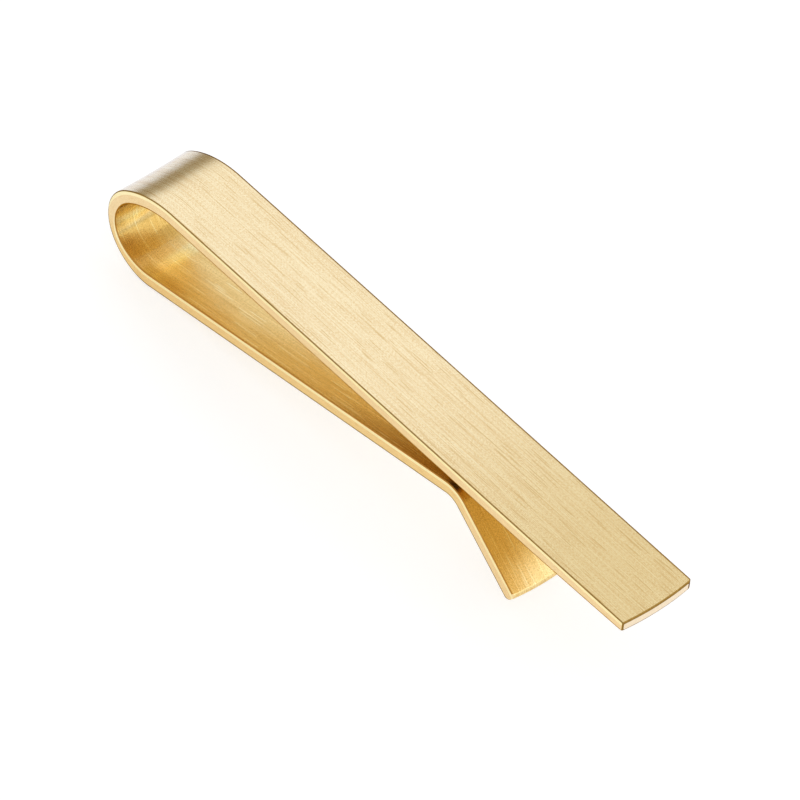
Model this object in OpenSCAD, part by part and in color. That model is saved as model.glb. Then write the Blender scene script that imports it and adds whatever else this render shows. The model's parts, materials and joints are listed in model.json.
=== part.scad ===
// Slide-on tie bar: one flat metal strip bent into a hairpin.
// Millimetres, +Z up. The front face looks up, the bend is at -X and the free end at +X.
// The origin is under the middle of the clip, at the height of its lowest point.

/* [Strip] */

// Length over everything, from the outside of the bend to the free end
overall_length = 51; // [44:0.5:58]
// Width of the strip
strip_width = 6; // [4.5:0.1:9]
// Thickness of the strip, away from its thinned places
strip_thickness = 1.1; // [0.9:0.05:1.3]
// Radius on the four long edges of the strip
edge_radius = 0.12; // [0.05:0.01:0.2]
// How far the middle of each cut end stands out past its corners
end_bow = 0.2; // [0.1:0.05:0.4]

/* [Free end] */

// How much is ground off the back at the free end
end_thinning = 0.2; // [0.1:0.05:0.4]
// Length over which the back thins towards the free end
end_taper_length = 8; // [4:0.5:14]

/* [Bend] */

// Outside radius of the wide bend next to the bar
shoulder_radius = 7.7; // [6:0.1:9]
// Angle turned by the wide bend
shoulder_angle = 38; // [30:0.5:50]
// Outside radius of the tight bend that acts as the spring
bend_radius = 3.9; // [3.4:0.05:4.4]
// Thickness at the thinnest place of the tight bend, as a share of the strip's
bend_thickness_share = 0.7; // [0.6:0.05:0.9]
// How much of each half of the tight bend its flatter inside arc takes, as a share
easing_share = 0.48; // [0.4:0.02:0.6]

/* [Tongue] */

// Straight part of the tongue as a share of the overall length
tongue_share = 0.585; // [0.54:0.005:0.62]
// Gap left between the crest of the knee and the back of the bar
grip_gap = 0.5; // [0.3:0.05:1]
// Radius of the knee on its hollow side
knee_radius = 1.4; // [1:0.1:2.5]
// Slope of the lip, away from the bar
lip_angle = 39.5; // [30:0.5:45]
// Length of the straight part of the lip
lip_length = 7.2; // [5:0.2:8]
// Radius on the lip's end, where the cloth slides in
lip_end_radius = 0.35; // [0.15:0.05:0.4]

/* [Hidden] */

// Whole shape, or the name of one sub-part

$fn = 96;
bar_color = [0.93, 0.80, 0.52];
bend_color = [0.86, 0.70, 0.40];
tongue_color = [0.90, 0.76, 0.47];
lip_color = [0.82, 0.66, 0.36];

// Extra size of every shape that only cuts, so that it passes right through
cut_margin = strip_width;

// A point at an angle and a distance from a centre, in the side view
function polar(centre, radius, angle) = centre + radius * [cos(angle), sin(angle)];

// Tight bend: its outside touches the left and the bottom of the clip
free_tip_x = overall_length / 2;
bend_centre = [bend_radius - overall_length / 2, bend_radius];
bend_start_angle = 90 + shoulder_angle;

// Wide bend: it meets the tight bend on one line through both centres
shoulder_centre = polar(bend_centre, shoulder_radius - bend_radius, bend_start_angle + 180);
top_z = shoulder_centre.y + shoulder_radius;

// Bar: it starts where the wide bend ends
bar_start_x = shoulder_centre.x;
bar_length = free_tip_x - bar_start_x;
bar_back_z = top_z - strip_thickness;
end_back_z = bar_back_z + end_thinning;
end_taper_angle = atan(end_thinning / end_taper_length);

// Tongue: its slope brings the knee's crest up to the grip gap under the bar
tongue_length = overall_length * tongue_share;
knee_arm = bend_radius + knee_radius;
crest_z = bar_back_z - grip_gap;
knee_rise = crest_z - strip_thickness - knee_radius - bend_centre.y;
tongue_slope = atan2(knee_arm, tongue_length) + asin(knee_rise / norm([knee_arm, tongue_length]));
bend_end_angle = 270 + tongue_slope;
tongue_start = polar(bend_centre, bend_radius, bend_end_angle);
knee_start = polar(tongue_start, tongue_length, tongue_slope);
knee_centre = polar(knee_start, knee_radius, bend_end_angle);
knee_outer_radius = knee_radius + strip_thickness;
lip_start = polar(knee_centre, knee_radius, 90 - lip_angle);

// Inside of the tight bend: two flatter easing arcs with a tighter crown arc between
// them, so that the wall thins smoothly to its thinnest place half way round
bend_inner_radius = bend_radius - strip_thickness;
bend_half_angle = (bend_end_angle - bend_start_angle) / 2;
bend_middle_angle = bend_start_angle + bend_half_angle;
easing_angle = bend_half_angle * easing_share;
crown_half_angle = bend_half_angle - easing_angle;
bend_thinning = strip_thickness * (1 - bend_thickness_share);
thinning_factor = 1 - cos(bend_half_angle) - sin(bend_half_angle) * tan(crown_half_angle / 2);
easing_shift = bend_thinning / thinning_factor;
easing_radius = bend_inner_radius + easing_shift;
crown_step = easing_shift * sin(bend_half_angle) / sin(crown_half_angle);
crown_shift = crown_step * cos(crown_half_angle) - easing_shift * cos(bend_half_angle);
crown_centre = polar(bend_centre, crown_shift, bend_middle_angle);
// The crown reaches a little over the easing arcs, so that no hair-thin face is left
crown_overlap_share = 0.0005;
crown_overlap = strip_thickness * crown_overlap_share;
crown_radius = easing_radius - crown_step + crown_overlap;
crown_sweep_share = 1.15;
crown_half_sweep = crown_half_angle * crown_sweep_share;

// Ends bowed in plan: an arc through both corners and the tip
bow_radius = (pow(strip_width / 2, 2) + pow(end_bow, 2)) / (2 * end_bow);

// Cross-section with rounded corners, centred across the width, its back on the axis
module rounded_section(width, thickness, radius) {
    corner_x = width / 2 - radius;
    translate([-width / 2, radius])
        square([width, thickness - 2 * radius]);
    translate([-corner_x, 0])
        square([2 * corner_x, thickness]);
    for (side = [-1, 1])
        for (corner_y = [radius, thickness - radius])
            translate([side * corner_x, corner_y])
                circle(r = radius);
}

// Straight strip along +X from the origin, its back at Z = 0
module straight_strip(length, thickness) {
    rotate([90, 0, 90])
        linear_extrude(height = length)
            rounded_section(strip_width, thickness, edge_radius);
}

// Puts a strip that lies along +X at a point of the side view, sloping up by an angle
module at_slope(start, angle) {
    translate([start.x, 0, start.y])
        rotate([0, -angle, 0])
            children();
}

// Turns a profile, radius by width, round a centre of the side view
module sweep(centre, start_angle, end_angle) {
    translate([centre.x, 0, centre.y])
        rotate([90, -start_angle, 0])
            rotate_extrude(angle = end_angle - start_angle)
                children();
}

// Strip bent round a centre; the thickness is measured inwards from the outer radius
module bent_strip(centre, outer_radius, thickness, start_angle, end_angle) {
    sweep(centre, start_angle, end_angle)
        translate([outer_radius, 0])
            rotate(90)
                rounded_section(strip_width, thickness, edge_radius);
}

// Disc whose rim is rounded, its axis along Z through the origin
module rounded_disc(radius, thickness, rim_radius) {
    rotate_extrude()
        intersection() {
            rounded_section(2 * radius, thickness, rim_radius);
            square([2 * radius, thickness]);
        }
}

// What has to go from a square end at X = tip_x to leave it bowed, with rounded edges
module bow_waste(tip_x, back_z, thickness, rim_radius) {
    depth = 2 * (end_bow + rim_radius);
    difference() {
        translate([tip_x - depth, -cut_margin, back_z - cut_margin])
            cube([2 * depth, 2 * cut_margin, thickness + 2 * cut_margin]);
        translate([tip_x - bow_radius, 0, back_z])
            rounded_disc(bow_radius, thickness, rim_radius);
    }
}

module front_bar() {
    color(bar_color)
        difference() {
            intersection() {
                at_slope([bar_start_x, bar_back_z], 0)
                    straight_strip(bar_length, strip_thickness);
                at_slope([free_tip_x, end_back_z], end_taper_angle)
                    translate([-overall_length, 0, 0])
                        straight_strip(2 * overall_length, cut_margin);
            }
            bow_waste(free_tip_x, top_z - cut_margin, cut_margin, edge_radius);
        }
}

module shoulder_bend() {
    color(bend_color)
        bent_strip(shoulder_centre, shoulder_radius, strip_thickness, 90, bend_start_angle);
}

// Profile of the space inside a bend: wider at both sides by the rounding of the edges
module inside_profile(radius) {
    corner_y = strip_width / 2 - edge_radius;
    difference() {
        translate([0, -cut_margin])
            square([radius + edge_radius, 2 * cut_margin]);
        translate([radius, -corner_y])
            square([2 * edge_radius, 2 * corner_y]);
        for (side = [-1, 1])
            translate([radius + edge_radius, side * corner_y])
                circle(r = edge_radius);
    }
}

// Inside space that eases the tight bend at one of its two ends
module easing_space(end_angle) {
    easing_centre = polar(bend_centre, -easing_shift, end_angle);
    sweep(easing_centre, end_angle - easing_angle, end_angle + easing_angle)
        inside_profile(easing_radius);
}

// The tight bend is cut from a blank of twice the thickness, which gives it its own inside
module spring_bend() {
    color(bend_color)
        difference() {
            bent_strip(bend_centre, bend_radius, 2 * strip_thickness, bend_start_angle, bend_end_angle);
            easing_space(bend_start_angle);
            easing_space(bend_end_angle);
            sweep(crown_centre, bend_middle_angle - crown_half_sweep, bend_middle_angle + crown_half_sweep)
                inside_profile(crown_radius);
        }
}

module back_tongue() {
    color(tongue_color)
        at_slope(tongue_start, tongue_slope)
            straight_strip(tongue_length, strip_thickness);
}

module grip_knee() {
    color(tongue_color)
        bent_strip(knee_centre, knee_outer_radius, strip_thickness, 90 - lip_angle, 90 + tongue_slope);
}

module lead_in_lip() {
    color(lip_color)
        at_slope(lip_start, -lip_angle)
            difference() {
                straight_strip(lip_length, strip_thickness);
                bow_waste(lip_length, 0, strip_thickness, lip_end_radius);
            }
}

front_bar();
shoulder_bend();
spring_bend();
back_tongue();
grip_knee();
lead_in_lip();
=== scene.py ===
# Slide-on tie bar: the finished surfaces of the bent strip, its studio and its camera.
# Sizes of the strip are in millimetres, and everything handed to Blender is in metres.
import json
import math
from collections import namedtuple

import bpy
import numpy as np
from mathutils import Matrix, Vector

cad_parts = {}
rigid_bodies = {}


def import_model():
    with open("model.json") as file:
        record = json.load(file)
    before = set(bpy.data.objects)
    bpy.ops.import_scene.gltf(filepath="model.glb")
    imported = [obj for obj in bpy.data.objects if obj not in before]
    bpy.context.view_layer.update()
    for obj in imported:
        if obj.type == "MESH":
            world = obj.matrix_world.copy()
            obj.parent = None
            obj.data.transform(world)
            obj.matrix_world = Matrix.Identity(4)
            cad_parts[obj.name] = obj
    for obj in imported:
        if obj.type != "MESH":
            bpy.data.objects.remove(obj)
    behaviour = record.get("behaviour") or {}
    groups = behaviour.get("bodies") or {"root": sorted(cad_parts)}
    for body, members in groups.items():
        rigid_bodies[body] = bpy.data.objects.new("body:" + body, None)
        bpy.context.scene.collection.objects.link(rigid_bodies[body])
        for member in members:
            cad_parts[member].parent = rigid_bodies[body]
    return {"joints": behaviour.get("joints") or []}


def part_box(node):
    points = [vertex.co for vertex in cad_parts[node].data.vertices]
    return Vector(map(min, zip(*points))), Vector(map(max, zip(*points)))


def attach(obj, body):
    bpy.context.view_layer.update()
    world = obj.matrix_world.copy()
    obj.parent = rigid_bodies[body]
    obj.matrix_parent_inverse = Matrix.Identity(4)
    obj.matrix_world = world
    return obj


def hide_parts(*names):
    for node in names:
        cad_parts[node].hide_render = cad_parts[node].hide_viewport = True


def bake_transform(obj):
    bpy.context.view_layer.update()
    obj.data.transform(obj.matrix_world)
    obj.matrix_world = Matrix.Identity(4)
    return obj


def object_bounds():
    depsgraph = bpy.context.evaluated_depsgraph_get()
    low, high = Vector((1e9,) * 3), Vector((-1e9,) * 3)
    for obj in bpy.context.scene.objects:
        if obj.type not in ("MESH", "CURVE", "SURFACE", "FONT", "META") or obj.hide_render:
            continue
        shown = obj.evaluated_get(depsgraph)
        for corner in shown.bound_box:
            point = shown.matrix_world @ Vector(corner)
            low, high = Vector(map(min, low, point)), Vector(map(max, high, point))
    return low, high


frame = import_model()
cad_low, cad_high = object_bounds()

MM = 0.001
QUARTER = math.pi / 2

# Sizes read from the frame
joint = frame["joints"][0]
BAR_BODY = joint["parent"]
TONGUE_BODY = joint["child"]
BEND_CENTRE = np.array([joint["pos_m"][0], joint["pos_m"][2]]) / MM
BEND_RADIUS = BEND_CENTRE[1]
OVERALL_LENGTH = (cad_high.x - cad_low.x) / MM
STRIP_WIDTH = (cad_high.y - cad_low.y) / MM
TIP_X = cad_high.x / MM
TOP_Z = cad_high.z / MM
BAR_START_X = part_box("front_bar")[0].x / MM
STRIP_THICKNESS = TOP_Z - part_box("front_bar")[0].z / MM
CREST_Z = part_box("grip_knee")[1].z / MM

# Sizes that the frame doesn't state, the same as in the part's source
END_BOW = 0.2
END_THINNING = 0.2
END_TAPER_LENGTH = 8.0
BEND_THICKNESS_SHARE = 0.7
EASING_SHARE = 0.48
TONGUE_SHARE = 0.585
KNEE_RADIUS = 1.4
LIP_ANGLE = math.radians(39.5)
LIP_LENGTH = 7.2
LIP_END_RADIUS = 0.35

# Rounding of the long edges, a little crisper than the part's
EDGE_RADIUS = 0.07
# How far the middle of the strip is drawn in where it was bent, and the share of the two
# bends over which this dish grows at their start and dies out at their end
BEND_DISH = 0.08
DISH_RAMP = 1 / 3
# How far the brushing has worn the faces down at the long edges, and the power by which
# this grows from the middle of the strip
FACE_CROWN = 0.03
CROWN_POWER = 4
# Rounding of the cut corners as seen from above
NEAR_CORNER_RADIUS = 0.1
FAR_CORNER_RADIUS = 0.28
# Length over which the bow of a cut end dies out along the strip
BOW_FADE = 4.0
# Width of the painted dark line above the lower edge of a side, and along the face's far edge; it stands
# for dark reflections and shade
LINE_WIDTH = 0.06
# How much wider the bright line below the upper edge of a side is, a painted highlight, and the
# share of the side's height that this takes at most
BRIGHT_EXTRA = 0.20
EXTRA_LIMIT = 1 / 3
# Slope of a face below which the painted lines taper, and the share of them left on an upright one
LINES_FULL = 0.6
LINES_LEFT = 0.05
# Rounding of the free end, and its turn up to which it has the painted dark line; the rest belongs to
# the faces
END_RADIUS = 0.17
END_DARK_TO = math.radians(52)
# Share of the width that the seam in the middle of a cut end takes
SEAM_SHARE = 0.95
# Decimals to which points are rounded before those in the same place become one
WELD_DECIMALS = 6

# How finely the strip is divided
WIDTH_STEPS = 28
MIDDLE_STEPS = 3
CORNER_STEPS = 8
RIM_STEPS = 7
END_STEPS = 16
BAR_STEPS = 44
SHOULDER_STEPS = 40
BEND_STEPS = 120
TONGUE_STEPS = 36
KNEE_STEPS = 24
LIP_STEPS = 12


def polar(centre, radius, angle):
    return np.asarray(centre) + radius * np.array([math.cos(angle), math.sin(angle)])


def smooth(share):
    share = np.clip(share, 0, 1)
    return share * share * (3 - 2 * share)


def divided(start, end, steps):
    """Even steps from one value to another, both included."""
    return np.linspace(start, end, steps + 1)


# The wide bend meets the tight bend on one line through both centres
rise = TOP_Z - BEND_CENTRE[1]
run = BAR_START_X - BEND_CENTRE[0]
SHOULDER_RADIUS = (run**2 + rise**2 - BEND_RADIUS**2) / (2 * (rise - BEND_RADIUS))
SHOULDER_CENTRE = np.array([BAR_START_X, TOP_Z - SHOULDER_RADIUS])
SHOULDER_ANGLE = math.atan2(run, SHOULDER_RADIUS - rise)
BEND_START = QUARTER + SHOULDER_ANGLE

# The tongue's slope brings the knee's crest up to its height under the bar
TONGUE_LENGTH = OVERALL_LENGTH * TONGUE_SHARE
knee_arm = BEND_RADIUS + KNEE_RADIUS
knee_rise = CREST_Z - STRIP_THICKNESS - KNEE_RADIUS - BEND_CENTRE[1]
TONGUE_SLOPE = math.atan2(knee_arm, TONGUE_LENGTH)
TONGUE_SLOPE += math.asin(knee_rise / math.hypot(knee_arm, TONGUE_LENGTH))
BEND_END = 3 * QUARTER + TONGUE_SLOPE
TONGUE_START = polar(BEND_CENTRE, BEND_RADIUS, BEND_END)
KNEE_START = polar(TONGUE_START, TONGUE_LENGTH, TONGUE_SLOPE)
KNEE_CENTRE = polar(KNEE_START, KNEE_RADIUS, BEND_END)
LIP_START = polar(KNEE_CENTRE, KNEE_RADIUS, QUARTER - LIP_ANGLE)

# Inside of the tight bend: two easing arcs with a crown arc between them
bend_half = (BEND_END - BEND_START) / 2
crown_half = bend_half * (1 - EASING_SHARE)
thinning = STRIP_THICKNESS * (1 - BEND_THICKNESS_SHARE)
thinning_factor = 1 - math.cos(bend_half) - math.sin(bend_half) * math.tan(crown_half / 2)
EASING_SHIFT = thinning / thinning_factor
EASING_RADIUS = BEND_RADIUS - STRIP_THICKNESS + EASING_SHIFT
crown_step = EASING_SHIFT * math.sin(bend_half) / math.sin(crown_half)
crown_shift = crown_step * math.cos(crown_half) - EASING_SHIFT * math.cos(bend_half)
BEND_MIDDLE = BEND_START + bend_half
CROWN_RADIUS = EASING_RADIUS - crown_step
CROWN_CENTRE = polar(BEND_CENTRE, crown_shift, BEND_MIDDLE)
# Angle at the bend's own centre under which the crown arc ends
crown_end = polar(CROWN_CENTRE, CROWN_RADIUS, BEND_MIDDLE + crown_half) - BEND_CENTRE
CROWN_SPREAD = math.atan2(crown_end[1], crown_end[0]) % math.tau - BEND_MIDDLE


# Kinds of surface round a section, in the order of the materials on each piece; the three corner kinds
# are painted lines, dark and amber ones for dark reflections and shade, a bright one for a highlight
FACE, BACK, SIDE, PAINTED_DARK_EDGE, PAINTED_BRIGHT_EDGE, CUT_END, PAINTED_AMBER_EDGE = range(7)

# One cross-section: its points on the two faces in the side view, how far a cut end's
# rounding takes it in, how much of the end's rounded corners and of its bow it follows, its
# share of the dish, and the kind of surface that a cut end has there
Station = namedtuple("Station", "outer inner rim_inset corner_share bow dish kind")


def station(outer, inner, rim_inset=0.0, corner_share=0.0, bow=0.0, dish=0.0, kind=None):
    return Station(np.array(outer), np.array(inner), rim_inset, corner_share, bow, dish, kind)


def cut_end(place, radius, dark_to=-math.inf):
    """Stations from a cut end to where its bow dies out; place gives both faces at a distance."""
    found = [station(*place(0), radius, 1.0, 1.0, kind=CUT_END)]
    for k in range(RIM_STEPS):
        turn = QUARTER * k / RIM_STEPS
        left = 1 - math.sin(turn)
        distance = radius * (1 - math.cos(turn))
        kind = PAINTED_DARK_EDGE if turn <= dark_to else None
        found.append(station(*place(distance), radius * left, left, 1.0, kind=kind))
    for distance in np.linspace(radius, radius + BOW_FADE, END_STEPS, endpoint=False):
        found.append(station(*place(distance), bow=1 - smooth((distance - radius) / BOW_FADE)))
    return found


def bar_place(distance):
    thickness = STRIP_THICKNESS - END_THINNING * max(0.0, 1 - distance / END_TAPER_LENGTH)
    x = TIP_X - distance
    return (x, TOP_Z), (x, TOP_Z - thickness)


def slope_place(start, slope, along):
    outer = polar(start, along, slope)
    return outer, polar(outer, STRIP_THICKNESS, slope + QUARTER)


def arc_place(centre, outer_radius, thickness, angle):
    return polar(centre, outer_radius, angle), polar(centre, outer_radius - thickness, angle)


def bend_place(angle):
    """Both faces of the tight bend, whose wall is thinnest half way round."""
    if abs(angle - BEND_MIDDLE) < CROWN_SPREAD:
        centre, radius = CROWN_CENTRE, CROWN_RADIUS
    else:
        nearer_end = BEND_START if angle < BEND_MIDDLE else BEND_END
        centre, radius = polar(BEND_CENTRE, -EASING_SHIFT, nearer_end), EASING_RADIUS
    direction = polar((0, 0), 1, angle)
    offset = centre - BEND_CENTRE
    along = offset @ direction
    reach = along + math.sqrt(along**2 - offset @ offset + radius**2)
    return polar(BEND_CENTRE, BEND_RADIUS, angle), BEND_CENTRE + direction * reach


def dish_at(angle):
    """Share of the dish at an angle of the two bends: none at both ends of the pair."""
    share = (angle - QUARTER) / (BEND_END - QUARTER)
    return smooth(share / DISH_RAMP) * smooth((1 - share) / DISH_RAMP)


def bar_stations():
    """The bar from its cut end to the wide bend."""
    found = cut_end(bar_place, END_RADIUS, END_DARK_TO)
    rest = divided(END_RADIUS + BOW_FADE, TIP_X - BAR_START_X, BAR_STEPS)
    return found + [station(*bar_place(distance)) for distance in rest]


def shoulder_stations():
    arc = (SHOULDER_CENTRE, SHOULDER_RADIUS, STRIP_THICKNESS)
    angles = divided(QUARTER, BEND_START, SHOULDER_STEPS)
    return [station(*arc_place(*arc, angle), dish=dish_at(angle)) for angle in angles]


def bend_stations():
    angles = divided(BEND_START, BEND_END, BEND_STEPS)
    return [station(*bend_place(angle), dish=dish_at(angle)) for angle in angles]


def tongue_stations():
    places = divided(0, TONGUE_LENGTH, TONGUE_STEPS)
    return [station(*slope_place(TONGUE_START, TONGUE_SLOPE, along)) for along in places]


def knee_stations():
    arc = (KNEE_CENTRE, KNEE_RADIUS, -STRIP_THICKNESS)
    angles = divided(QUARTER + TONGUE_SLOPE, QUARTER - LIP_ANGLE, KNEE_STEPS)
    return [station(*arc_place(*arc, angle)) for angle in angles]


def lip_place(distance):
    return slope_place(LIP_START, -LIP_ANGLE, LIP_LENGTH - distance)


def lip_stations():
    """The lip from the knee to its cut end, whose bow points the other way along the strip."""
    rest = divided(LIP_LENGTH, LIP_END_RADIUS + BOW_FADE, LIP_STEPS)
    found = [station(*lip_place(distance)) for distance in rest]
    lip_end = cut_end(lip_place, LIP_END_RADIUS)
    return found + [one._replace(bow=-one.bow) for one in reversed(lip_end)]


def strip_zones():
    """Each zone's stations, from the free end round to the lip; neighbours share one."""
    return {
        "front_bar": bar_stations(),
        "shoulder_bend": shoulder_stations(),
        "spring_bend": bend_stations(),
        "back_tongue": tongue_stations(),
        "grip_knee": knee_stations(),
        "lead_in_lip": lip_stations(),
    }


def outline(low_y, high_y, top, bottom, radius, line_share=1.0):
    """Points round a section, across the strip by depth, from the outer face's far corner on."""
    radius = min(radius, (bottom - top) / 2)
    arcs = [
        (high_y - radius, top + radius, -QUARTER),
        (high_y - radius, bottom - radius, 0),
        (low_y + radius, bottom - radius, QUARTER),
        (low_y + radius, top + radius, 2 * QUARTER),
    ]
    height = bottom - top - 2 * radius
    line_share = min(line_share, height * EXTRA_LIMIT / BRIGHT_EXTRA)
    dark, bright = np.cumsum([LINE_WIDTH, BRIGHT_EXTRA]) * line_share / max(height, LINE_WIDTH)
    side_shares = [dark, *divided(bright, 1 - bright, MIDDLE_STEPS), 1 - dark]
    border = LINE_WIDTH / (high_y - low_y - 2 * radius)
    face_shares = divided(border, 1 - border, WIDTH_STEPS)
    points = []
    for k, (y, depth, start) in enumerate(arcs):
        for angle in divided(start, start + QUARTER, CORNER_STEPS):
            points.append(polar((y, depth), radius, angle))
        next_y, next_depth, next_start = arcs[(k + 1) % len(arcs)]
        corner_end = points[-1]
        straight = polar((next_y, next_depth), radius, next_start) - corner_end
        shares = face_shares if k % 2 else side_shares
        points += [corner_end + straight * share for share in shares]
    return np.array(points)


def section_kinds(outer_up):
    """Kinds of surface round a section, in the order of the outline's points."""
    outer_corner = CORNER_STEPS * [PAINTED_DARK_EDGE]
    inner_corner = CORNER_STEPS * [PAINTED_AMBER_EDGE]
    lower_line = PAINTED_AMBER_EDGE if outer_up else PAINTED_DARK_EDGE
    side = [PAINTED_BRIGHT_EDGE, PAINTED_BRIGHT_EDGE] + (MIDDLE_STEPS + 1) * [SIDE] + [lower_line]
    back = (WIDTH_STEPS + 2) * [BACK]
    face = (WIDTH_STEPS + 1) * [FACE] + [PAINTED_DARK_EDGE]
    first, second = (side, side[::-1]) if outer_up else (side[::-1], side)
    around_back = inner_corner + back + inner_corner
    return outer_corner + first + around_back + second + outer_corner + face


def ring(here):
    """Points of one station's section in the part's frame, in millimetres."""
    half = STRIP_WIDTH / 2
    thickness = np.linalg.norm(here.outer - here.inner)
    inward = (here.inner - here.outer) / thickness
    backward = np.array([inward[1], -inward[0]])
    low_y = -half + NEAR_CORNER_RADIUS * here.corner_share
    high_y = half - FAR_CORNER_RADIUS * here.corner_share
    depths = (here.rim_inset, thickness - here.rim_inset)
    line_share = min(1, abs(inward[1]) / LINES_FULL + LINES_LEFT)
    section = outline(low_y, high_y, *depths, EDGE_RADIUS, line_share)
    y, depth = section[:, 0], section[:, 1]
    if here.kind == CUT_END:
        y = y * SEAM_SHARE
        depth = np.full_like(depth, thickness / 2)
    worn = FACE_CROWN * (y / half) ** CROWN_POWER * (1 - 2 * depth / thickness)
    depth = depth + worn + BEND_DISH * here.dish * (1 - (y / half) ** 2)
    bow_radius = (half**2 + END_BOW**2) / (2 * END_BOW)
    sag = bow_radius - np.sqrt(bow_radius**2 - y**2)
    flat = here.outer + np.outer(depth, inward) + np.outer(sag * here.bow, backward)
    return np.column_stack([flat[:, 0], y, flat[:, 1]])


def surface_normals(rings):
    """Normals of the whole strip at every point, weighted by the areas of the faces round it."""
    after = np.roll(rings, -1, axis=1)
    faces = np.cross(after[1:] - rings[:-1], after[:-1] - rings[1:])
    faces = faces + np.roll(faces, 1, axis=1)
    total = np.zeros_like(rings)
    total[:-1] += faces
    total[1:] += faces
    return total / np.linalg.norm(total, axis=2, keepdims=True)


def kind_between(first, second, kind):
    """Kind of surface between two stations; the one nearer to a cut end decides."""
    nearer = max(first, second, key=lambda one: (one.kind == CUT_END, one.rim_inset))
    if nearer.kind is not None:
        return nearer.kind
    return SIDE if nearer.rim_inset > 0 and kind == PAINTED_AMBER_EDGE else kind


class Skin:
    """Faces of one mesh: the points and kind of each, and a map and a normal at each corner."""

    def __init__(self):
        self.faces = []
        self.kinds = []
        self.maps = []
        self.normals = []

    def add(self, points, kind, maps, normals):
        self.faces.append(points)
        self.kinds.append(kind)
        self.maps += maps
        self.normals += normals


def closed_round(grid):
    """A grid whose first column follows once more after its last one."""
    return np.concatenate([grid, grid[:, :1]], axis=1)


def add_bands(skin, stations, index, normals, along, around):
    """Adds the faces between neighbouring sections, without those that shrink to a line."""
    for row, (here, after) in enumerate(zip(stations, stations[1:])):
        outward = here.outer + after.outer - here.inner - after.inner
        for k, kind in enumerate(section_kinds(outward[1] > 0)):
            places = [(row, k), (row + 1, k), (row + 1, k + 1), (row, k + 1)]
            corners = [place for c, place in enumerate(places) if index[place] != index[places[c - 1]]]
            points = [index[place] for place in corners]
            if len(set(points)) < 3:
                continue
            maps = [(along[line], around[column]) for line, column in corners]
            directions = [normals[place] for place in corners]
            skin.add(points, kind_between(here, after, kind), maps, directions)


def add_cut_faces(skin, points, index, along, around):
    """Adds a flat face at each end where the next zone meets this one."""
    count = index.shape[1] - 1
    for row, order in ((0, 1), (len(index) - 1, -1)):
        ids = list(index[row, :count])[::order]
        if len(set(ids)) < count:
            continue
        corner = points[ids[0]]
        facing = np.cross(corner - points[ids[count // 4]], corner - points[ids[count // 2]])
        maps = [(along[row], around[k]) for k in range(count)][::order]
        skin.add(ids, SIDE, maps, [facing / np.linalg.norm(facing)] * count)


def metal_piece(name, stations, rings, normals, along, around, materials):
    """Closed mesh of one zone of the strip, standing for the solid of the same name."""
    rounded = np.round(rings.reshape(-1, 3), WELD_DECIMALS)
    points, index = np.unique(rounded, axis=0, return_inverse=True)
    index = closed_round(index.reshape(rings.shape[:2]))
    skin = Skin()
    add_bands(skin, stations, index, normals, along, around)
    add_cut_faces(skin, points, index, along, around)

    mesh = bpy.data.meshes.new(name)
    mesh.from_pydata([tuple(point * MM) for point in points], [], skin.faces)
    for material in materials:
        mesh.materials.append(material)
    mesh.polygons.foreach_set("material_index", skin.kinds)
    mesh.polygons.foreach_set("use_smooth", [True] * len(skin.faces))
    mesh.uv_layers.new(name=STRIP_MAP).data.foreach_set("uv", np.ravel(skin.maps))
    mesh.normals_split_custom_set([tuple(normal) for normal in skin.normals])
    piece = bpy.data.objects.new(name + "_metal", mesh)
    bpy.context.scene.collection.objects.link(piece)
    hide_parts(name)
    return piece


# Map of the strip rolled out flat, in millimetres: along it, and round its section
STRIP_MAP = "strip_mm"

# Colour sockets of the Mix node: the two that go in, and the one that comes out
MIX_FIRST = 6
MIX_SECOND = 7
MIX_RESULT = 2

# Noise of the brush lines and of the strokes that the brushing belt leaves
NOISE_ROUGHNESS = 0.6
LINE_DETAIL = 1.5
STROKE_DETAIL = 2.0
STROKE_SEED = 3.1
# Shift that puts the noise of neighbouring brush lines far apart
FAR_APART = 500.0
# Brush lines of three kinds: their width and length as multiples of the finish's, and a seed
Lines = namedtuple("Lines", "width length seed")
FINE_LINES = Lines(1.0, 1.2, 3.0)
BROAD_LINES = Lines(1.2, 5.0, 171.0)
SINGLE_SCRATCHES = Lines(1.2, 1.3, 417.0)
# The short marks between them: their length, their weight beside the lines, and a seed
GRAIN_LENGTH = 0.15
GRAIN_WEIGHT = 1.8
GRAIN_SEED = 58.0
# Noise levels between which the darker colour, a single scratch and a stroke grow
SHADE_LEVELS = (1.55, 2.35)
SCRATCH_LEVELS = (0.64, 0.72)
STROKE_LEVELS = (0.3, 0.7)
# Roughness in the smoothest and in the roughest strokes, as multiples of the finish's own
SMOOTHEST = 0.8
ROUGHEST = 1.25
# How deep the strokes are, and how strongly they tilt the surface
STROKE_DEPTH = 0.01 * MM
STROKE_RELIEF = 0.3
# Turn, in whole turns, from the map's tangent to the direction of the brushing
BRUSHING_TURN = 0.25
LACQUER_ROUGHNESS = 0.15


def add_node(tree, kind, links=None, **settings):
    """A shader node with its settings, its plain input values and what is linked into it."""
    made = tree.nodes.new(kind)
    for key, value in settings.items():
        setattr(made, key, value)
    for socket, source in (links or {}).items():
        if isinstance(source, bpy.types.NodeSocket):
            tree.links.new(source, made.inputs[socket])
        else:
            made.inputs[socket].default_value = source
    return made


def number(tree, operation, first, second=0.0):
    return add_node(tree, "ShaderNodeMath", {0: first, 1: second}, operation=operation).outputs[0]


def ranged(tree, value, levels, results):
    """Grows evenly from the first result to the second as a value goes from level to level."""
    (low, high), (first, last) = levels, results
    links = {"Value": value, "From Min": low, "From Max": high, "To Min": first, "To Max": last}
    return add_node(tree, "ShaderNodeMapRange", links).outputs["Result"]


def grown(tree, value, clear, full):
    """Grows smoothly from 0 at one value to 1 at the other."""
    links = {"Value": value, "From Min": clear, "From Max": full}
    return add_node(tree, "ShaderNodeMapRange", links, interpolation_type="SMOOTHSTEP").outputs["Result"]


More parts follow.
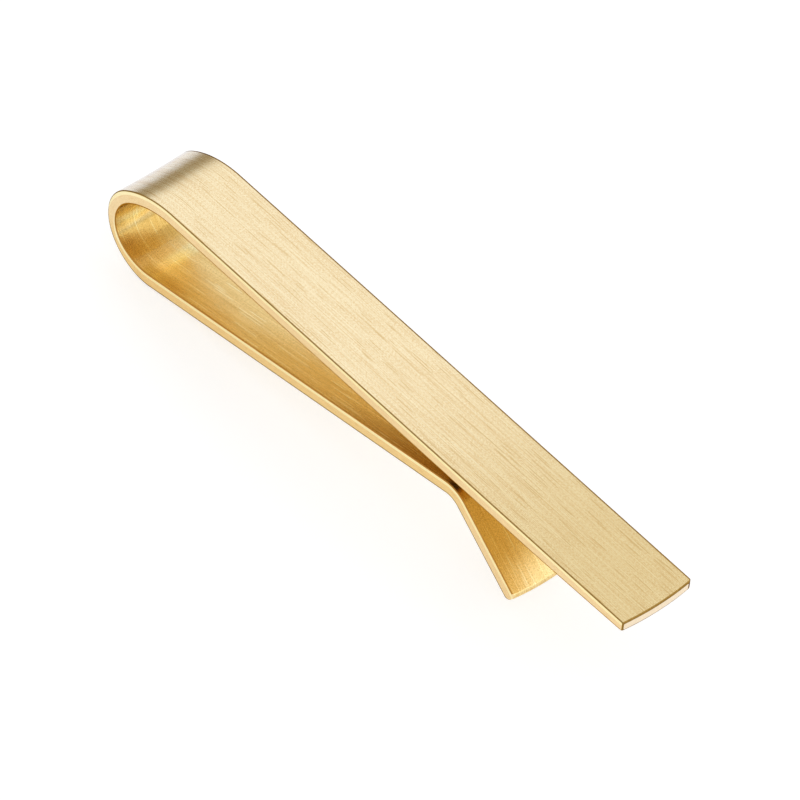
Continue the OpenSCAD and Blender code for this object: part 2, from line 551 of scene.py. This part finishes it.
def mixed(tree, share, first, second, blend_type="MIX"):
    links = {"Factor": share, MIX_FIRST: first, MIX_SECOND: second}
    mix = add_node(tree, "ShaderNodeMix", links, data_type="RGBA", blend_type=blend_type)
    return mix.outputs[MIX_RESULT]


def strokes(tree, place, width_mm, length_mm):
    """Smooth noise drawn out along the strip, as a brushing belt leaves it."""
    shift = (STROKE_SEED, STROKE_SEED, 0)
    links = {"Vector": place, "Scale": (1 / length_mm, 1 / width_mm, 1), "Location": shift}
    stretched = add_node(tree, "ShaderNodeMapping", links).outputs["Vector"]
    links = {"Vector": stretched, "Scale": 1.0, "Detail": STROKE_DETAIL, "Roughness": NOISE_ROUGHNESS}
    return add_node(tree, "ShaderNodeTexNoise", links, noise_dimensions="2D").outputs["Fac"]


def brush_lines(tree, place, width_mm, length_mm, seed):
    """Straight parallel lines, each of which grows lighter and darker along its own length."""
    split = add_node(tree, "ShaderNodeSeparateXYZ", {"Vector": place})
    line = number(tree, "FLOOR", number(tree, "DIVIDE", split.outputs["Y"], width_mm))
    links = {"W": number(tree, "ADD", line, seed)}
    chance = add_node(tree, "ShaderNodeTexWhiteNoise", links, noise_dimensions="1D").outputs["Value"]
    start = number(tree, "MULTIPLY", chance, FAR_APART)
    reached = number(tree, "ADD", number(tree, "DIVIDE", split.outputs["X"], length_mm), start)
    links = {"W": reached, "Scale": 1.0, "Detail": LINE_DETAIL, "Roughness": NOISE_ROUGHNESS}
    return add_node(tree, "ShaderNodeTexNoise", links, noise_dimensions="1D").outputs["Fac"]


# A tint that leaves a colour as it is
NO_TINT = (1.0, 1.0, 1.0)

# Look of one finish: the colour of its brushing, the darker colour in the brush lines, the
# colour of single scratches and of the metal seen at a slant, what the lines and the lacquer
# over them are like, the tints of its painted shade and painted highlight, and the spots that have them
Finish = namedtuple(
    "Finish",
    "colour shade scratch grazing roughness anisotropy contrast line_width line_length lacquer "
    "tarnish tarnished burnish burnished",
    defaults=(NO_TINT, (), NO_TINT, ()),
)

# A spot of the strip: where along it the spot starts, is full, falls off and ends, and where
# round the section it starts and is full, if it doesn't go right across
Spot = namedtuple("Spot", "along across", defaults=(None,))


def spot_share(tree, place, spots):
    """How far a place lies inside the spots of a list, added up where two of them overlap."""
    split = add_node(tree, "ShaderNodeSeparateXYZ", {"Vector": place})
    total = 0.0
    for spot in spots:
        start, risen, falling, end = spot.along
        at = split.outputs["X"]
        share = number(tree, "MULTIPLY", grown(tree, at, start, risen), grown(tree, at, end, falling))
        if spot.across:
            share = number(tree, "MULTIPLY", share, grown(tree, split.outputs["Y"], *spot.across))
        total = number(tree, "ADD", share, total)
    return total


def brushed_colour(tree, place, finish):
    """Colour of a finish, with its brush lines, its single scratches and its spots of painted shade and
    painted highlight.
    """
    width, length = finish.line_width, finish.line_length
    fine, broad, single = (
        brush_lines(tree, place, width * kind.width, length * kind.length, kind.seed)
        for kind in (FINE_LINES, BROAD_LINES, SINGLE_SCRATCHES)
    )
    grain = brush_lines(tree, place, width, GRAIN_LENGTH, GRAIN_SEED)
    weighted = number(tree, "MULTIPLY", grain, GRAIN_WEIGHT)
    lines = number(tree, "ADD", number(tree, "ADD", fine, broad), weighted)
    shade_share = ranged(tree, lines, SHADE_LEVELS, (0.0, finish.contrast))
    toned = mixed(tree, shade_share, (*finish.colour, 1), (*finish.shade, 1))
    scratch_share = ranged(tree, single, SCRATCH_LEVELS, (0.0, finish.contrast))
    colour = mixed(tree, scratch_share, toned, (*finish.scratch, 1))
    for tint, spots in ((finish.tarnish, finish.tarnished), (finish.burnish, finish.burnished)):
        if spots:
            share = spot_share(tree, place, spots)
            colour = mixed(tree, share, colour, (*tint, 1), "MULTIPLY")
    return colour


def metal(name, finish):
    """Lacquered gold plate whose gloss and relief follow the brushing, and whose colour follows it too,
    with painted shade and painted highlight in the finish's spots.
    """
    material = bpy.data.materials.new(name)
    material.use_nodes = True
    tree = material.node_tree
    shader = tree.nodes["Principled BSDF"]
    place = add_node(tree, "ShaderNodeUVMap", uv_map=STRIP_MAP).outputs["UV"]
    tree.links.new(brushed_colour(tree, place, finish), shader.inputs["Base Color"])
    rubbed = strokes(tree, place, finish.line_width, finish.line_length)
    roughness = (finish.roughness * SMOOTHEST, finish.roughness * ROUGHEST)
    tree.links.new(ranged(tree, rubbed, STROKE_LEVELS, roughness), shader.inputs["Roughness"])
    strength = STROKE_RELIEF * finish.contrast
    links = {"Height": rubbed, "Strength": strength, "Distance": STROKE_DEPTH}
    relief = add_node(tree, "ShaderNodeBump", links)
    tree.links.new(relief.outputs["Normal"], shader.inputs["Normal"])
    tangent = add_node(tree, "ShaderNodeTangent", direction_type="UV_MAP", uv_map=STRIP_MAP)
    tree.links.new(tangent.outputs["Tangent"], shader.inputs["Tangent"])
    shader.inputs["Metallic"].default_value = 1.0
    shader.inputs["Specular Tint"].default_value = (*finish.grazing, 1)
    shader.inputs["Anisotropic"].default_value = finish.anisotropy
    shader.inputs["Anisotropic Rotation"].default_value = BRUSHING_TURN
    shader.inputs["Coat Weight"].default_value = finish.lacquer
    shader.inputs["Coat Roughness"].default_value = LACQUER_ROUGHNESS
    return material


# The whole strip as one row of sections, and the stretch of it that each zone takes
zones = strip_zones()
stations = []
spans = {}
for zone, found in zones.items():
    first = max(0, len(stations) - 1)
    stations += found if not stations else found[1:]
    spans[zone] = slice(first, len(stations))
rings = np.array([ring(one) for one in stations])
normals = closed_round(surface_normals(rings))

# Distances along the strip and round its section
middles = np.array([(one.outer + one.inner) / 2 for one in stations])
steps = np.linalg.norm(np.diff(middles, axis=0), axis=1)
along = np.concatenate([[0], np.cumsum(steps)])
full_section = outline(-STRIP_WIDTH / 2, STRIP_WIDTH / 2, 0, STRIP_THICKNESS, EDGE_RADIUS)
sides = np.linalg.norm(np.diff(full_section, axis=0, append=full_section[:1]), axis=1)
around = np.concatenate([[0], np.cumsum(sides)])

bend_along = along[spans["spring_bend"]]
bend_angles = divided(BEND_START, BEND_END, BEND_STEPS)


def along_bend(*degrees):
    """Places along the strip of angles of the tight bend."""
    return tuple(np.interp(np.radians(degrees), bend_angles, bend_along))


def past_bend(*distances):
    return tuple(bend_along[-1] + distance for distance in distances)


def before_lip_end(*distances):
    return tuple(along[-1] - distance for distance in distances)


def across_back(*places):
    """Places round the section of points at distances from the middle of the strip's back."""
    back_start = math.pi * EDGE_RADIUS + STRIP_THICKNESS - 2 * EDGE_RADIUS
    return tuple(back_start + STRIP_WIDTH / 2 - EDGE_RADIUS - y for y in places)


# Spots of painted shade, darker where shade and dark reflections fall, and of painted highlight, paler
# where highlights fall inside the loop
FREE_END_PAINTED_SHADE = Spot((-2, -1, 4, 28))
BEND_PAINTED_SHADE = Spot(along_bend(200, 214, 240, 272))
NEAR_EDGE_PAINTED_SHADE = Spot((*along_bend(258, 273), *past_bend(1, 5)), across_back(-1.5, -2.7))
KNEE_PAINTED_SHADE = Spot(before_lip_end(18, 8, 3.5, 0.5))
SIDE_PAINTED_SHADE = Spot((*along_bend(180, 210), *before_lip_end(9, 4)))
BEND_PAINTED_HIGHLIGHT = Spot(along_bend(156, 168, 203, 214), across_back(0.6, -1.6))
HEEL_PAINTED_HIGHLIGHT = Spot(past_bend(-1.0, -0.3, 0.2, 0.9), across_back(-2.0, -0.4))

# The gold is one plating, but its colour is set by surface: the top face is painted paler (painted
# light), the inside and the sides deeper and more saturated (painted shade), and the cut ends paler and
# less saturated (painted reflection)
BRUSHED_PAINTED_LIGHT_FACE = Finish(
    colour=(1.000, 0.865, 0.575),
    shade=(0.780, 0.540, 0.250),
    scratch=(0.735, 0.520, 0.240),
    grazing=(1.000, 1.000, 1.000),
    roughness=0.24,
    anisotropy=0.6,
    contrast=0.72,
    line_width=0.055,
    line_length=3.4,
    lacquer=0.35,
    # Painted shade: darker towards the free end of the face
    tarnish=(0.820, 0.770, 0.620),
    tarnished=(FREE_END_PAINTED_SHADE,),
)
# Deeper and more saturated than the face: painted shade
BRUSHED_PAINTED_SHADE_INSIDE = Finish(
    colour=(0.945, 0.725, 0.345),
    shade=(0.650, 0.430, 0.130),
    scratch=(1.000, 0.890, 0.560),
    grazing=(1.000, 1.000, 1.000),
    roughness=0.22,
    anisotropy=0.6,
    contrast=0.75,
    line_width=0.06,
    line_length=4.0,
    lacquer=0.0,
    # Painted shade in the hollow of the bend, along the near edge of its inside and at the knee
    tarnish=(0.760, 0.665, 0.430),
    tarnished=(BEND_PAINTED_SHADE, NEAR_EDGE_PAINTED_SHADE, KNEE_PAINTED_SHADE),
    # Painted highlight: two paler spots inside the loop
    burnish=(1.014, 1.177, 1.450),
    burnished=(BEND_PAINTED_HIGHLIGHT, HEEL_PAINTED_HIGHLIGHT),
)
# Deeper and more saturated than the face: painted shade
SATIN_PAINTED_SHADE_EDGE = Finish(
    colour=(0.920, 0.705, 0.395),
    shade=(0.780, 0.540, 0.240),
    scratch=(0.780, 0.540, 0.240),
    grazing=(1.000, 0.900, 0.700),
    roughness=0.3,
    anisotropy=0.2,
    contrast=0.4,
    line_width=0.07,
    line_length=1.2,
    lacquer=0.1,
    # Painted shade along the sides from the lower loop to the lip
    tarnish=(0.985, 0.940, 0.775),
    tarnished=(SIDE_PAINTED_SHADE,),
)
# Painted dark reflection: near-black gold on the outer corners, the face's far edge, the free end's rim
# and the lower lines of the sides where the outer face looks down, standing for the dark surroundings
# mirrored in the small edge roundings
PAINTED_DARK_REFLECTION_FINISH = Finish(
    colour=(0.330, 0.190, 0.045),
    shade=(0.200, 0.110, 0.020),
    scratch=(0.500, 0.330, 0.110),
    grazing=(0.250, 0.180, 0.120),
    roughness=0.3,
    anisotropy=0.0,
    contrast=0.5,
    line_width=0.1,
    line_length=2.5,
    lacquer=0.0,
)
# Painted shade: dark amber gold on the inner corners and on the lower lines of the sides where the outer
# face looks up, standing for the shade and dark reflections along the inside's edges
PAINTED_AMBER_SHADE_FINISH = Finish(
    colour=(0.500, 0.240, 0.040),
    shade=(0.360, 0.170, 0.030),
    scratch=(0.620, 0.360, 0.100),
    grazing=(0.450, 0.250, 0.080),
    roughness=0.3,
    anisotropy=0.0,
    contrast=0.5,
    line_width=0.1,
    line_length=2.5,
    lacquer=0.0,
)
# Painted highlight: bright gold in the thin line below the upper edge of each side, standing for a
# highlight along the edge
PAINTED_HIGHLIGHT_FINISH = Finish(
    colour=(1.000, 0.860, 0.460),
    shade=(0.950, 0.780, 0.400),
    scratch=(0.900, 0.700, 0.360),
    grazing=(1.000, 1.000, 1.000),
    roughness=0.16,
    anisotropy=0.0,
    contrast=0.3,
    line_width=0.1,
    line_length=2.5,
    lacquer=0.0,
)
# Paler and less saturated than the sides: painted reflection
SATIN_PAINTED_REFLECTION_END = Finish(
    colour=(0.910, 0.760, 0.550),
    shade=(0.820, 0.660, 0.450),
    scratch=(0.820, 0.660, 0.450),
    grazing=(1.000, 1.000, 1.000),
    roughness=0.3,
    anisotropy=0.0,
    contrast=0.4,
    line_width=0.1,
    line_length=1.2,
    lacquer=0.1,
)

# One material for each kind of surface, in the order of the kinds
materials = (
    metal("brushed_gold_painted_light_face", BRUSHED_PAINTED_LIGHT_FACE),
    metal("brushed_gold_painted_shade_inside", BRUSHED_PAINTED_SHADE_INSIDE),
    metal("satin_gold_painted_shade_edge", SATIN_PAINTED_SHADE_EDGE),
    metal("painted_dark_reflection_corner", PAINTED_DARK_REFLECTION_FINISH),
    metal("painted_highlight_corner", PAINTED_HIGHLIGHT_FINISH),
    metal("satin_gold_painted_reflection_end", SATIN_PAINTED_REFLECTION_END),
    metal("painted_amber_shade_corner", PAINTED_AMBER_SHADE_FINISH),
)

pieces = {}
for zone, span in spans.items():
    parts = (stations[span], rings[span], normals[span], along[span], around, materials)
    pieces[zone] = metal_piece(zone, *parts)

for zone in ("front_bar", "shoulder_bend"):
    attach(pieces[zone], BAR_BODY)
for zone in ("back_tongue", "grip_knee", "lead_in_lip"):
    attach(pieces[zone], TONGUE_BODY)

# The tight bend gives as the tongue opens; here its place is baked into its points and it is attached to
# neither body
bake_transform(pieces["spring_bend"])

# Camera of the photograph: a long lens that looks down along the clip from its free end
CAMERA_AZIMUTH = math.radians(43.808)
CAMERA_ELEVATION = math.radians(48.371)
CAMERA_ROLL = math.radians(6.430)
CAMERA_DISTANCE = 613.48 * MM
CAMERA_LENS = 419.97
CAMERA_TARGET = Vector((-0.036, 0.601, 4.908)) * MM
CAMERA_NEAREST = 0.01
CAMERA_FARTHEST = 20


def place_camera():
    azimuth, elevation = CAMERA_AZIMUTH, CAMERA_ELEVATION
    flat = math.cos(elevation)
    back = Vector((math.sin(azimuth) * flat, -math.cos(azimuth) * flat, math.sin(elevation)))
    level = Vector((math.cos(azimuth), math.sin(azimuth), 0))
    raised = back.cross(level)
    right = level * math.cos(CAMERA_ROLL) + raised * math.sin(CAMERA_ROLL)
    up = back.cross(right)
    data = bpy.data.cameras.new("camera")
    data.lens = CAMERA_LENS
    data.clip_start = CAMERA_NEAREST
    data.clip_end = CAMERA_FARTHEST
    camera = bpy.data.objects.new("camera", data)
    bpy.context.scene.collection.objects.link(camera)
    turn = Matrix((right, up, back)).transposed().to_4x4()
    camera.matrix_world = Matrix.Translation(CAMERA_TARGET + back * CAMERA_DISTANCE) @ turn
    bpy.context.scene.camera = camera


place_camera()


# Light of the white room, and the shade and the glow of the paper floor, both as the metal
# sees them and as the camera does
ROOM_LIGHT = 0.8
PAPER_SHADE = 0.85
PAPER_GLOW = 0.34
PAPER_SHADE_IN_CAMERA = 0.5
PAPER_GLOW_IN_CAMERA = 0.64
PAPER_ROUGHNESS = 0.9
FLOOR_SIZE = 4.0
FLOOR_GAP = 0.02 * MM
# Turn of the two cards that lie in front of the loop
LYING_TURN = math.radians(61)
# Length below which a direction counts as none
NO_LENGTH = 0.001


def panel(name, centre, normal, width, height, material, turn=0.0):
    """A flat rectangle that faces along a direction, its width level or turned about it."""
    normal = Vector(normal).normalized()
    level = Vector((0, 0, 1)).cross(normal)
    across = level.normalized() if level.length > NO_LENGTH else Vector((1, 0, 0))
    across.rotate(Matrix.Rotation(turn, 3, normal))
    upward = normal.cross(across)
    centre = Vector(centre)
    corners = [
        centre + across * (width * x) + upward * (height * y)
        for x, y in ((-0.5, -0.5), (0.5, -0.5), (0.5, 0.5), (-0.5, 0.5))
    ]
    mesh = bpy.data.meshes.new(name)
    mesh.from_pydata(corners, [], [(0, 1, 2, 3)])
    mesh.uv_layers.new(name="card").data.foreach_set("uv", (0, 0, 1, 0, 1, 1, 0, 1))
    mesh.materials.append(material)
    made = bpy.data.objects.new(name, mesh)
    bpy.context.scene.collection.objects.link(made)
    return made


def seen_directly(tree):
    """1 for rays from the camera and for those that metal mirrors or glass lets through."""
    path = add_node(tree, "ShaderNodeLightPath")
    shown = path.outputs["Is Camera Ray"]
    for other in ("Is Glossy Ray", "Is Transmission Ray"):
        shown = number(tree, "MAXIMUM", shown, path.outputs[other])
    return shown


def grey(level):
    return (level, level, level, 1)


def white_world():
    world = bpy.data.worlds.new("white_room")
    world.use_nodes = True
    bpy.context.scene.world = world
    tree = world.node_tree
    background = tree.nodes["Background"]
    background.inputs["Color"].default_value = grey(1)
    strength = ranged(tree, seen_directly(tree), (0.0, 1.0), (ROOM_LIGHT, 1.0))
    tree.links.new(strength, background.inputs["Strength"])


def floor_material():
    """White paper: its lit parts show white, and its shadow shows less to the camera."""
    material = bpy.data.materials.new("white_paper")
    material.use_nodes = True
    tree = material.node_tree
    shader = tree.nodes["Principled BSDF"]
    shader.inputs["Roughness"].default_value = PAPER_ROUGHNESS
    shader.inputs["Emission Color"].default_value = grey(1)
    path = add_node(tree, "ShaderNodeLightPath")
    in_camera = path.outputs["Is Camera Ray"]
    shade = mixed(tree, in_camera, grey(PAPER_SHADE), grey(PAPER_SHADE_IN_CAMERA))
    tree.links.new(shade, shader.inputs["Base Color"])
    mirrored = ranged(tree, seen_directly(tree), (0.0, 1.0), (0.0, PAPER_GLOW))
    more = ranged(tree, in_camera, (0.0, 1.0), (0.0, PAPER_GLOW_IN_CAMERA - PAPER_GLOW))
    tree.links.new(number(tree, "ADD", mirrored, more), shader.inputs["Emission Strength"])
    return material


def soft_card(name, centre, normal, width, height, tone, fade, turn=0.0):
    """A card seen only in reflections; its tone dies out towards its edges over a share of it."""
    material = bpy.data.materials.new(name)
    material.use_nodes = True
    tree = material.node_tree
    tree.nodes.clear()
    place = add_node(tree, "ShaderNodeTexCoord").outputs["UV"]
    split = add_node(tree, "ShaderNodeSeparateXYZ", {"Vector": place})
    half = 0.5
    cover = 1.0
    for axis in ("X", "Y"):
        distance = number(tree, "ABSOLUTE", number(tree, "SUBTRACT", split.outputs[axis], half))
        cover = number(tree, "MULTIPLY", cover, grown(tree, distance, half, half - fade))
    glow = add_node(tree, "ShaderNodeEmission", {"Color": (*tone, 1)})
    clear = add_node(tree, "ShaderNodeBsdfTransparent")
    mix = add_node(tree, "ShaderNodeMixShader", {0: cover, 1: clear.outputs[0], 2: glow.outputs[0]})
    add_node(tree, "ShaderNodeOutputMaterial", {"Surface": mix.outputs[0]})
    card = panel(name, centre, normal, width, height, material, turn)
    card.visible_camera = False
    card.visible_diffuse = False
    card.visible_shadow = False
    return card


def soft_lamp(name, centre, size, brightness, colour):
    """Square soft light that faces the middle of the clip; a brightness of 1 is white."""
    data = bpy.data.lights.new(name, "AREA")
    data.size = size
    data.energy = brightness * math.pi * size**2
    data.color = colour
    lamp = bpy.data.objects.new(name, data)
    facing = Vector(centre).to_track_quat("Z", "Y").to_matrix().to_4x4()
    lamp.matrix_world = Matrix.Translation(centre) @ facing
    bpy.context.scene.collection.objects.link(lamp)


bpy.context.scene.view_settings.view_transform = "Standard"
white_world()
panel("floor", (0, 0, -FLOOR_GAP), (0, 0, 1), FLOOR_SIZE, FLOOR_SIZE, floor_material())

# Dark card low behind the loop: the dark band round the loop
soft_card(
    "low_card",
    centre=(-0.216, 0.125, 0.038),
    normal=(0.866, -0.5, 0),
    width=0.45,
    height=0.14,
    tone=(0.29, 0.235, 0.14),
    fade=0.35,
)
# Cool grey card lying in front of it: the paler grey below that band
soft_card(
    "cool_card",
    centre=(-0.114, 0.052, 0.001),
    normal=(0, 0, 1),
    width=0.20,
    height=0.20,
    tone=(0.62, 0.66, 0.82),
    fade=0.25,
    turn=LYING_TURN,
)
# Pale blue card lying close to the loop: the neutral white under the grey
soft_card(
    "pale_card",
    centre=(-0.043, 0.013, 0.0012),
    normal=(0, 0, 1),
    width=0.045,
    height=0.06,
    tone=(0.90, 0.96, 1.16),
    fade=0.35,
    turn=LYING_TURN,
)
# Soft light at the back right: it lights the lip and the inside of the loop
soft_lamp(
    "back_right_light",
    centre=(0.20, 0.145, 0.155),
    size=0.22,
    brightness=0.50,
    colour=(0.93, 1.0, 1.18),
)
